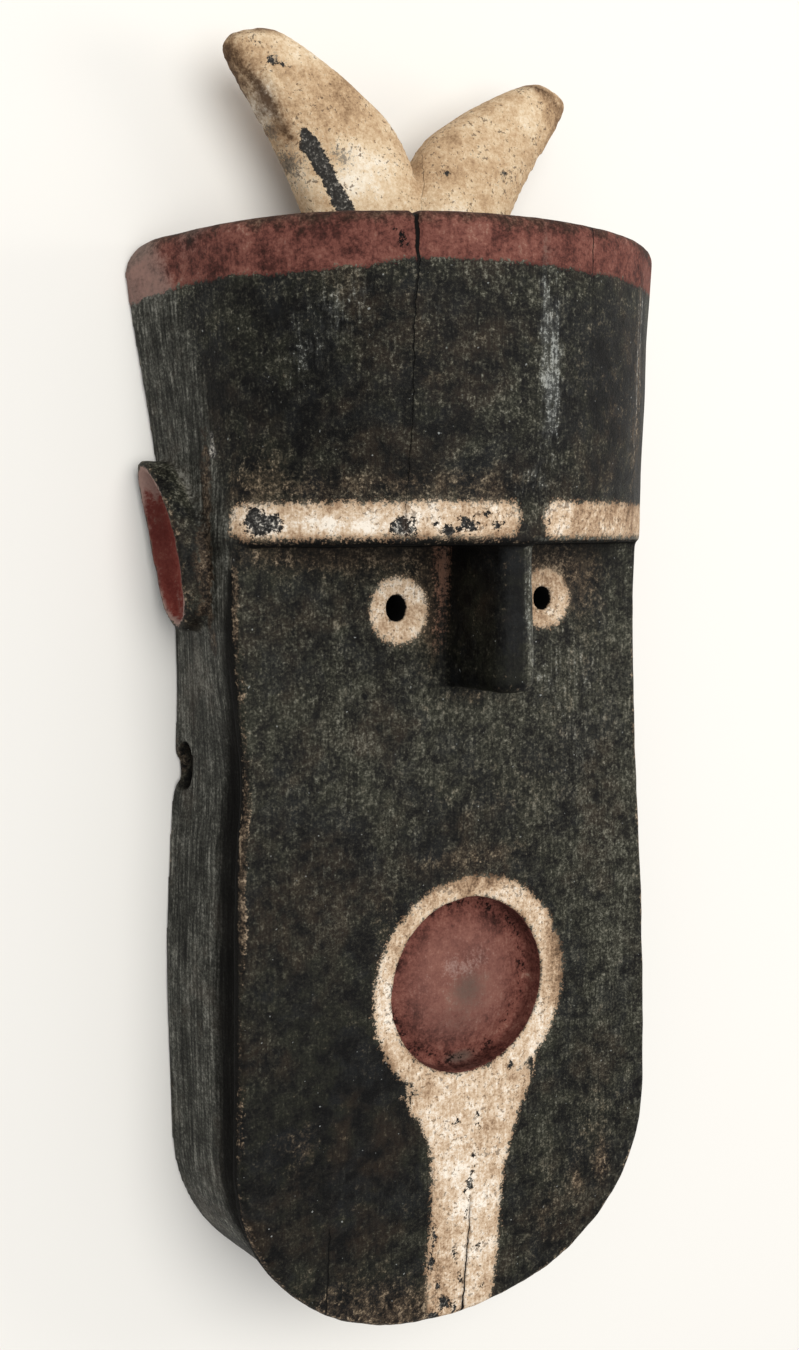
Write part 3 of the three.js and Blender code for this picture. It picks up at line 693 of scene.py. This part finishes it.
# Values painted on the vertices: distances in millimetres to each paint's edge, and strengths
def paintMaps(p, normal):
    x, y, z = p.T

    def soft(name):
        return softSum(x, y, softSpots[name])

    front = (z > -9) | (y > 121)
    horns = np.minimum(hornField(x, y, z, -1), hornField(x, y, z, 1))
    onHorn = (y > 112) & (horns < 1.5) & ((y > 122) | (normal[:, 1] < 0.75))
    away, half = crackLines(x, y, z)
    flakeGap = np.minimum(ovals(x, y, flakes["horns"]), pathGap(x, y, hornFlake))
    paintGap = ovals(x, y, flakes["brow"] + flakes["ring"] + flakes["handle"] + flakes["band"])
    marks = np.minimum.reduce([pathGap(x, y, path) for path in stainPaths.values()])
    outline = faceOutline(x, y, z)
    roundFront, wall = foreheadSides(x, np.maximum(y, 0), z)
    flank = np.where(y > 0, wall, outline)
    ear = ramp(flank, 1.5, 3.0) * (np.abs(y) < 36)
    lowerSide = ramp(np.abs(normal[:, 0]), 0.62, 0.9) * ramp(z, -3, -9)
    side = np.where(y > 2, ramp(wall - roundFront, -0.5, 2.0), lowerSide)
    cup = np.minimum(earField(x, y, z, -1)[1], earField(x, y, z, 1)[1])
    # painted shade, with some dirt: the groove behind the plate's edge, the brow's underside and the plate
    # round the nose's foot are darkened
    grooveEnd = np.interp(y, [-100, -60, -10], [-22, -13, -4])     # how low the dark groove reaches
    groove = ramp(z, -1.5, -2.8) * ramp(z, grooveEnd - 8, grooveEnd) * (y < -8)
    browLedge = ramp(-normal[:, 1], 0.3, 0.7) * (np.abs(y - 1) < 4) * (z > -1)
    noseFoot = 0.75 * ramp(noseField(x, y, z), 2.0, 0.4) * (np.abs(z + 1.1) < 1.9) * (y < -2)
    onNose = ramp(z, 2, 5) * (y < 2)
    noseSide, noseFront = onNose * ramp(-normal[:, 0], 0.4, 0.8), onNose * ramp(normal[:, 2], 0.6, 0.9)
    noseRightHighlight = onNose * ramp(x, 3.5, 8.5)      # a painted highlight down the nose's right edge, partly rubbed paint
    earRim = ramp(cup, -0.4, 0.5) * ramp(cup, 3.6, 2.2) * ramp(np.abs(normal[:, 0]), 0.3, 0.6)
    plateEdge = np.hypot(faceOutline(x, y, np.full(x.shape, -2.0)) + 1.0, z + 2.0)
    rust = np.hypot((x + 99) / 3.5, (z + 22.5) / 3.0) + 2 * np.maximum(np.abs(y + 5) / 34 - 1, 0)
    cornerLine = np.where(x < -90, pathGap(z, y, [(-28, 60, 0.2), (-19, 42, 0.6), (-19, 35, 2.2)]), 30.0)
    return dict(
        onHorn=onHorn * 1.0,
        above=ramp(y, -6, 16),
        pale=palePaint(x, y, z),
        red=redPaint(x, y, z),
        flake=np.where(y > 118, 1.5 * flakeGap, np.where(front | (y > 100), paintGap, 30.0)),
        crackAway=away,
        crackHalf=np.where(normal[:, 2] > 0.1, half, -5.0),
        inner=ramp(innerWall(p), 3.5, 1.0),
        edge=0.5 - sampled(nearWood, low, cell, p),
        # painted shade: how far a point is sunk in a corner, which darkens it
        cornerShade=sampled(wideWood, low, cell, p) - 0.5,
        side=side * (1 - ear),
        chalk=soft("chalk") * front,
        haze=soft("haze") * front * (1 - 0.8 * onNose),
        scuffAndGlint=soft("scuffAndGlint") * front + 0.8 * noseRightHighlight * ramp(y, -56, -44),
        # painted shade on the nose's left side, front and bottom, and a painted highlight down its right
        # edge, on top of the black's own depth
        deepBlackAndShade=(soft("deepBlackAndShade") * (z > -20) + 2.8 * noseSide + 4.2 * noseFront
               - 2.2 * noseRightHighlight * (1 + 2 * noseFront) + 2.0 * onNose * ramp(y, -50, -55)),
        smear=soft("smear") * (z > -2) * (z < 3),
        grime=soft("grey") * (z < -1),
        marks=np.where(z > -40, marks, 30.0),
        plateEdge=np.where(y < -6, plateEdge, 30.0),
        rust=np.where(x < -90, rust, 9.0),
        cornerLine=cornerLine,
        rimTop=rimLevel(x) - y,
        wrap=ramp(y, 84, 90) * side * ramp(z, -8, -26) * (x < 0),
        earRim=(earRim * (0.4 + 0.6 * ramp(np.abs(y), 10, 26)) + 0.7 * ramp(np.abs(y + 2), 24, 32)
                + 0.5 * ramp(y, 13, 26)) * (ear > 0.5),
        cupFloor=ramp(cup, 1.0, 0.2) * ear,
        # painted shade, darker towards the back of the ear cup
        cupShade=ramp(cup, 1.0, 0.2) * ear * ramp(z, -42, -54) * (1 - 0.6 * ramp(y, 12, 26)),
        under=np.maximum.reduce([groove, browLedge, noseFoot]),
        holes=holeDepth(x, y, z),
        mouthReach=np.where(front | (z > -14), np.hypot(x - mouth["x"], y - mouth["y"]), 99.0),
    )


place = readRows(mask.data.vertices, "co") / millimetre - origin
facing = readRows(mask.data.vertex_normals, "vector")
for name, values in paintMaps(place, facing).items():
    layer = mask.data.attributes.new(name, "FLOAT", "POINT")
    layer.data.foreach_set("value", np.ascontiguousarray(values, np.float32))
print("paint maps done")


def linear(hexColour):              # an sRGB hex colour as linear red, green, blue
    parts = [int(hexColour[k:k + 2], 16) / 255 for k in (1, 3, 5)]
    return tuple(c / 12.92 if c <= 0.04045 else ((c + 0.055) / 1.055) ** 2.4 for c in parts) + (1.0,)


# Adds a node with its settings; inputs by name or number take a value or another node's output
def addNode(tree, kind, inputs=None, **settings):
    node = tree.nodes.new(kind)
    for key, value in settings.items():
        setattr(node, key, value)
    for key, value in (inputs or {}).items():
        if isinstance(value, bpy.types.NodeSocket):
            tree.links.new(value, node.inputs[key])
        else:
            node.inputs[key].default_value = value
    return node


# Hand-carved wood under earth paints: a thin black of soot and sap that shows the grain and glints
# on its fine crust, chalky kaolin that breaks up into grains at its edges, red-brown ochre, and
# brown wood where edges are worn. Ramps go from pits to the palest grains. A noise is given by its
# largest patches in millimetres, its detail, its roughness and its squeeze, below one where it is
# drawn out down the grain.
finish = dict(
    black=[(0.22, "#030303"), (0.38, "#100f0d"), (0.50, "#1f1e19"), (0.60, "#323129"), (0.72, "#4f4e44"),
           (0.88, "#807e72")],
    wall=[(0.24, "#060504"), (0.40, "#181814"), (0.50, "#2b2b26"), (0.62, "#484842"), (0.80, "#818078")],
    pale=[(0.08, "#2b2119"), (0.24, "#725a45"), (0.38, "#a68a6f"), (0.52, "#ccb499"), (0.72, "#f0e6d8")],
    red=[(0.22, "#1d0e0b"), (0.38, "#472722"), (0.52, "#6a3f37"), (0.66, "#805348"), (0.85, "#ad8877")],
    horn=[(0.14, "#4a3828"), (0.30, "#8a6e52"), (0.46, "#bd9f7d"), (0.60, "#d9c2a2"), (0.80, "#f1e7d6")],
    flaked=[(0.30, "#191818"), (0.48, "#343331"), (0.60, "#64625e"), (0.74, "#d2ccc1")],
    brown=[(0.30, "#1f1812"), (0.48, "#42362a"), (0.62, "#685846"), (0.80, "#93826a")],
    worn=[(0.30, "#15100c"), (0.46, "#30271f"), (0.60, "#56483a"), (0.78, "#a39079")],
    wood=[(0.30, "#1d140d"), (0.50, "#35261a"), (0.70, "#513c2a")],
    blackHaze="#33271c", blackGreen="#25271c", blackBlue="#1d2022", bloomAndGlint="#aeb1ae", palest="#f0e6d8",
    topWorn="#33231b", cupRed="#8a352e", cupDark="#32110e", mouthGrey="#554b44", scratch="#a8938b",
    # the first colour here is the near-black of cracks, flakes and checks, and of painted shade in corners,
    # grooves and holes
    crackAndShadeBlack="#080706", stain="#664b34", stainCore="#3d2b1e", greyPink="#9a857c", smear="#bd8b73",
    hornGrey="#5e5952", hornBare="#34312e", pinhole="#5b4a3b",
    noises=dict(
        grit=(1.1, 3.0, 0.75, 1.0), speck=(2.8, 3.0, 0.7, 1.0), blotch=(10.0, 4.0, 0.65, 1.0),
        coarseCloud=(26.0, 4.0, 0.65, 1.0), cloud=(42.0, 3.0, 0.6, 1.0), grain=(1.3, 3.0, 0.65, 0.12),
        streaks=(8.0, 3.0, 0.6, 0.12), hairs=(1.5, 2.0, 0.6, 0.035), checks=(0.9, 2.0, 0.6, 0.07),
        waver=(6.0, 2.0, 0.6, 1.0), crackle=(5.0, 2.0, 0.6, 1.0), dust=(1.9, 1.0, 0.5, 1.0),
        pores=(1.7, 2.0, 0.7, 1.0),
    ),
    roughness=dict(black=0.58, paint=0.75),
    bump=dict(strength=0.9, distance=0.0006),       # metres
    gloss=dict(ior=1.45, level=0.14),
)


def paintedWood():
    material = bpy.data.materials.new("carved wood under worn earth paints")
    material.use_nodes = True
    tree = material.node_tree
    tree.nodes.clear()
    painted = {}                    # the values painted on the vertices that are read so far

    def node(kind, inputs=None, **settings):                # a name among the inputs is a painted value
        inputs = dict(inputs or {})
        for key, value in inputs.items():
            if isinstance(value, str):
                if value not in painted:
                    painted[value] = addNode(tree, "ShaderNodeAttribute", attribute_name=value)
                inputs[key] = painted[value].outputs["Fac"]
        return addNode(tree, kind, inputs, **settings)

    def calc(operation, a, b=0.0):
        return node("ShaderNodeMath", {0: a, 1: b}, operation=operation).outputs[0]

    def times(a, b):
        return calc("MULTIPLY", a, b)

    def most(value, *others):
        for other in others:
            value = calc("MAXIMUM", value, other)
        return value

    def stretched(where, factors):
        return node("ShaderNodeVectorMath", {0: where, 1: factors}, operation="MULTIPLY").outputs[0]

    place = stretched(node("ShaderNodeTexCoord").outputs["Object"], (1 / millimetre,) * 3)

    def noise(size, detail, rough, squeeze):
        where = stretched(place, (1.0, squeeze, 1.0))
        inputs = {"Vector": where, "Scale": 1 / size, "Detail": detail, "Roughness": rough}
        return node("ShaderNodeTexNoise", inputs).outputs["Fac"]

    noises = {name: noise(*values) for name, values in finish["noises"].items()}

    # A sum of values and (value, weight) pairs, and of noises that swing either side of zero by
    # their weights
    def total(*terms, **swings):
        swung = [(calc("SUBTRACT", noises[name], 0.5), weight) for name, weight in swings.items()]
        result = 0.0
        for term in [*terms, *swung]:
            result = calc("ADD", result, times(*term) if isinstance(term, tuple) else term)
        return result

    def step(value, start, end, **swings):      # 0 to 1 as the value goes from start to end
        value = total(value, **swings) if swings else value
        return node("ShaderNodeMapRange", {"Value": value, "From Min": start, "From Max": end},
                    interpolation_type="SMOOTHSTEP").outputs["Result"]

    def mix(share, *pair):                      # a colour is an output or a name in the finish
        a, b = (linear(finish[colour]) if isinstance(colour, str) else colour for colour in pair)
        return node("ShaderNodeMix", {0: share, 6: a, 7: b}, data_type="RGBA").outputs[2]

    def layered(colour, *layers):               # from the bottom up, each with its share and strength
        for over, share, strength in layers:
            colour = mix(times(share, strength), colour, over)
        return colour

    def ramped(name, *terms, **swings):         # the finish's colour ramp of that name
        ramp = node("ShaderNodeValToRGB", {0: total(*terms, **swings)})
        points = ramp.color_ramp.elements
        while len(points) < len(finish[name]):
            points.new(1.0)
        for point, (at, colour) in zip(points, finish[name]):
            point.position = at
            point.color = linear(colour)
        return ramp.outputs[0]

    wornWood = ramped("worn", 0.5, speck=1.0, grit=1.0, streaks=0.7)
    lost = step("flake", 0.25, -0.35, blotch=4.0, speck=6.0, grit=4.5)

    # black ground, browned, greened and blued in clouds, rubbed grey where it is scuffed, with a painted
    # glint down the forehead's ridge and near its left corner as well, wiped with red-brown beside the
    # nose, and with hairline checks down the grain; it is also darkened with painted shade and lightened
    # with painted light
    crackle = calc("ABSOLUTE", calc("SUBTRACT", noises["crackle"], 0.5))
    calm = most("deepBlackAndShade", 0.0)               # the deepest black is also the smoothest
    mottle = total(grit=1.2, speck=0.75, blotch=0.8, grain=0.45, coarseCloud=0.45)
    mottle = times(mottle, total(0.9, ("above", 0.3), (calm, -0.09)))
    tint = mix(step(noises["coarseCloud"], 0.44, 0.54), "blackBlue", "blackGreen")
    tint = mix(step(noises["cloud"], 0.48, 0.6), tint, "blackHaze")
    brown = ramped("brown", 0.5, grit=1.0, speck=0.8, blotch=0.5)
    flecked = step("haze", 0.85, 1.5, speck=2.2, grit=2.6, grain=2.2)
    rubbedAndGlinting = step("scuffAndGlint", 1.1, 1.8, grit=4.0, grain=3.0, speck=2.6)
    wiped = step("smear", 0.3, 1.3, grit=3.0, grain=2.0, speck=2.5)
    ground = layered(
        ramped("black", 0.52, mottle, (crackle, -0.35), ("deepBlackAndShade", -0.06)),
        (tint, step(noises["blotch"], 0.36, 0.62), 0.35),
        (brown, step("haze", 0.2, 1.2, blotch=1.6, speck=1.2, grit=1.0), 0.6),
        ("bloomAndGlint", step(noises["dust"], 0.76, 0.82), 0.5),
        (wornWood, times(flecked, step("haze", 0.1, 0.5)), 0.6),
        ("bloomAndGlint", step("scuffAndGlint", 0.3, 1.6, grain=2.0, speck=2.0), 0.12),
        # rubbed paint, and a painted glint down the forehead's ridge and near its left corner
        ("bloomAndGlint", times(rubbedAndGlinting, step("scuffAndGlint", 0.1, 0.5)), 0.45),
        ("smear", times(wiped, step("smear", 0.05, 0.35)), 0.85),
        ("crackAndShadeBlack", step(noises["checks"], 0.61, 0.67, blotch=0.4), 0.45),
    )

    # side walls: the black is thinner and greyer, with fine open grain, and painted lighter than the front,
    # partly as painted light
    wall = ramped("wall", 0.55, hairs=0.65, streaks=0.12, speck=0.35, blotch=0.45, grit=0.7, grain=0.2,
                  coarseCloud=0.4)
    wall = layered(wall, ("blackHaze", step(noises["coarseCloud"], 0.5, 0.64), 0.3))
    chipAndGlintColour = ramped("flaked", 0.6, grit=1.4, speck=0.8)
    ground = layered(
        mix("side", ground, wall),
        # paint worn pale along the left corner, with a painted glint on its arris
        (chipAndGlintColour, step("cornerLine", 0.3, -0.4, speck=5.0, grit=5.0), 0.75),
        # painted shade in the groove behind the plate, under the brow's ledge and round the nose's foot
        ("crackAndShadeBlack", "under", 0.94),
    )

    # worn edges: the plate's rim, the ear's foot and the sharpest corners
    atPlate = step("plateEdge", 1.6, 0.6, streaks=-8.0, speck=-5.0, grit=-4.0)
    atEar = step("rust", 1.25, 0.7, blotch=3.0, speck=3.0, grit=2.0)
    atCorner = times(step("edge", 0.26, 0.38, speck=0.7, blotch=0.5), step("edge", 0.08, 0.16))
    bare = most(times(atPlate, 0.8), times(atEar, 0.85), times(atCorner, 0.6))

    # red-brown paint, dark along the rim's top, grey-pink where it wraps round the left wall, partly rubbed
    # and partly painted light on that wall, with painted shade towards the back of the ear cups, smoother
    # inside the mouth and cracked round the mouth's floor
    smooth = step("mouthReach", 35.0, 16.0)
    redGrain = total(grit=0.5, speck=0.5, blotch=0.65, grain=0.18)
    rubbedAndLitRed = step("wrap", 0.2, 1.1, blotch=1.2, speck=1.0, grit=0.8)
    rubbedEar = step("earRim", 0.25, 0.9, speck=1.0, grit=0.8)
    crossed = step("scuffAndGlint", 0.25, 1.3, grit=2.0, blotch=2.0, grain=1.0)
    scratched = step("scuffAndGlint", 0.3, 1.6, grit=3.0, speck=2.0, grain=1.5)
    rimCracks = times(step("mouthReach", 29.0, 33.5), step("mouthReach", 36.6, 35.0))
    rimCracks = times(rimCracks, step(0.5, 0.44, 0.38, speck=1.0, grit=0.6, blotch=0.8))
    redPaint = layered(
        ramped("red", 0.48, (redGrain, total(1.0, (smooth, -0.45))), (smooth, 0.1), coarseCloud=0.5),
        (mix(0.6, wornWood, "topWorn"), step("rimTop", 7.0, 0.5, blotch=16.0, speck=8.0, grit=4.0), 0.75),
        ("cupRed", "cupFloor", 0.45),
        ("cupDark", "cupShade", 0.65),
        ("greyPink", most(times(rubbedAndLitRed, 0.5), times(rubbedEar, 0.7)), 1.0),
        ("hornGrey", crossed, total(0.45, (smooth, -0.45))),
        ("greyPink", smooth, 0.09),
        ("mouthGrey", step("grime", 0.1, 1.3, speck=1.2, blotch=1.2, grit=0.8), 0.7),
        ("scratch", times(scratched, smooth), 0.4),
        ("crackAndShadeBlack", rimCracks, 0.85),
        ("crackAndShadeBlack", lost, 1.0),
    )
    redMask = step("red", 0.45, -0.45, blotch=6.0, grit=5.0, speck=5.0)

    # pale paint
    pinholes = total(noises["pores"], ("chalk", -0.02), blotch=0.5)
    flaked = ramped("flaked", 0.47, speck=0.9, grit=1.2)
    palePaint = layered(
        ramped("pale", 0.52, ("chalk", 0.13), grit=0.6, speck=0.4, grain=0.3, blotch=0.65, coarseCloud=0.4),
        ("pinhole", step(pinholes, 0.59, 0.66), 0.65),
        ("palest", step("chalk", 0.7, 1.1, blotch=3.0, speck=3.0, grit=2.0), 0.6),
        (flaked, lost, 1.0),
    )
    paleMask = step("pale", 1.0, -1.0, grit=9.0, speck=7.0)

    # horns: kaolin rubbed brown, grey where it is thin, stained along the left one's ridge
    hornPaint = layered(
        ramped("horn", 0.5, ("chalk", 0.2), ("haze", -0.2), grit=0.42, speck=0.35, blotch=0.45, cloud=0.45),
        ("pinhole", step(total(pinholes, ("scuffAndGlint", 0.06)), 0.61, 0.68), 0.75),
        ("hornGrey", step("scuffAndGlint", 0.8, 1.5, grit=4.0, speck=3.0, grain=1.5), 0.75),
        (mix(0.55, flaked, "hornBare"), lost, 1.0),
    )
    hornMask = step("onHorn", 0.35, 0.65)
    stained = total("marks", speck=4.0, blotch=6.0, grit=3.0)

    # all of it, with painted shade in corners, bare wood behind, painted shade filling the holes, and the
    # cracks
    crackGap = calc("ABSOLUTE", total("crackAway", waver=2.2, speck=0.7))
    crackGap = calc("SUBTRACT", crackGap, "crackHalf")
    cracked = step(crackGap, 0.22, -0.12)
    colour = layered(
        ground,
        (wornWood, bare, 1.0),
        (redPaint, redMask, 1.0),
        (palePaint, paleMask, 1.0),
        (hornPaint, hornMask, 1.0),
        ("stain", step(stained, 4.0, -2.0), 0.75),
        ("stainCore", step(stained, 0.4, -2.0), 0.8),
        ("crackAndShadeBlack", step("cornerShade", 0.05, 0.22, blotch=0.25), 0.7),
        (ramped("wood", 0.5, streaks=1.2, grain=0.9, blotch=0.4), "inner", 1.0),
        ("crackAndShadeBlack", step("holes", 0.2, 1.2, speck=4.0), 1.0),
        ("stainCore", times(step(crackGap, 1.8, 0.0, speck=3.0), paleMask), 0.4),
        ("crackAndShadeBlack", cracked, 1.0),
    )

    # bump: crust, grain lines, the pale paint's own thickness, flakes and cracks
    grain = noises["grain"]
    height = total((noises["grit"], 0.6), (noises["speck"], 0.22), (grain, 0.25),
                   (grain, times("side", 0.3)), (paleMask, 0.15), (lost, times(paleMask, -0.2)),
                   (cracked, -1.2))
    bump, gloss, rough = (finish[name] for name in ("bump", "gloss", "roughness"))
    raised = node("ShaderNodeBump", {"Strength": bump["strength"], "Distance": bump["distance"],
                                     "Height": height}).outputs[0]
    covered = most(paleMask, hornMask, redMask, "inner")
    roughness = total(rough["black"], ("under", 0.4), (covered, rough["paint"] - rough["black"]), speck=0.4)
    shader = node("ShaderNodeBsdfPrincipled", {"Base Color": colour, "Roughness": roughness,
                                               "Normal": raised, "IOR": gloss["ior"],
                                               "Specular IOR Level": gloss["level"]})
    node("ShaderNodeOutputMaterial", {"Surface": shader.outputs[0]})
    return material


mask.data.materials.clear()
mask.data.materials.append(paintedWood())
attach(mask, "root")
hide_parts("carved_mask")

# A pale matt floor
floor = dict(size=6.0, colour="#eae8e4", roughness=0.9)
half = floor["size"] / 2
square = [(-half, -half, 0), (half, -half, 0), (half, half, 0), (-half, half, 0)]
floorMesh = bpy.data.meshes.new("floor")
floorMesh.from_pydata(square, [], [(0, 1, 2, 3)])
floorObject = bpy.data.objects.new("floor", floorMesh)
bpy.context.scene.collection.objects.link(floorObject)
floorMaterial = bpy.data.materials.new("matt white card")
floorMaterial.use_nodes = True
card = floorMaterial.node_tree.nodes["Principled BSDF"]
card.inputs["Base Color"].default_value = linear(floor["colour"])
card.inputs["Roughness"].default_value = floor["roughness"]
floorMesh.materials.append(floorMaterial)

# Soft studio light: a window to the right, a wide light overhead and a pale sky all round, with places
# and sizes in metres and powers in watts
lights = dict(
    window=dict(at=(1.8, 0.2, 1.0), size=0.9, power=9.0, colour="#fffaf2"),
    front=dict(at=(-0.15, 0.45, 2.3), size=2.4, power=50.0, colour="#fffdf8"),
    sky=dict(colour="#f8f9fb", strength=0.48),
)


def areaLight(name, at, size, power, colour):
    lamp = bpy.data.lights.new(name, "AREA")
    lamp.shape = "DISK"
    lamp.size = size
    lamp.energy = power
    lamp.color = linear(colour)[:3]
    holder = bpy.data.objects.new(name, lamp)
    holder.location = at
    holder.rotation_euler = holder.location.to_track_quat("Z", "Y").to_euler()
    bpy.context.scene.collection.objects.link(holder)


for name in ("window", "front"):
    areaLight(name, **lights[name])
world = bpy.data.worlds.new("sky")
world.use_nodes = True
background = world.node_tree.nodes["Background"]
background.inputs["Color"].default_value = linear(lights["sky"]["colour"])
background.inputs["Strength"].default_value = lights["sky"]["strength"]
bpy.context.scene.world = world

# The photograph's viewpoint: it looks down on the mask from its left, turned by these angles in
# radians, at this distance from the point on the face plate that it is aimed at
viewpoint = dict(swing=0.52834, tip=0.09254, roll=-0.01075, distance=0.564, aim=(-0.02683, -0.05151, 0.0),
                 focalPixels=1422.92, imageHeight=1350.0, sensor=36.0)


def aimCamera():
    swing, tip, roll = viewpoint["swing"], viewpoint["tip"], viewpoint["roll"]
    back = np.array([-math.sin(swing) * math.cos(tip), math.sin(tip), math.cos(swing) * math.cos(tip)])
    right = np.cross([0, 1, 0], back)
    right /= np.linalg.norm(right)
    up = np.cross(back, right)
    right, up = (math.cos(roll) * right + math.sin(roll) * up, math.cos(roll) * up - math.sin(roll) * right)
    at = np.array(viewpoint["aim"]) + origin * millimetre + back * viewpoint["distance"]
    data = bpy.data.cameras.new("camera")
    data.sensor_width = viewpoint["sensor"]
    data.lens = viewpoint["focalPixels"] / viewpoint["imageHeight"] * viewpoint["sensor"]
    camera = bpy.data.objects.new("camera", data)
    turned = np.eye(4)
    turned[:3, 0], turned[:3, 1], turned[:3, 2], turned[:3, 3] = right, up, back, at
    camera.matrix_world = Matrix(turned.tolist())
    bpy.context.scene.collection.objects.link(camera)
    bpy.context.scene.camera = camera


aimCamera()
bpy.context.scene.view_settings.view_transform = "Standard"

print("mask done")
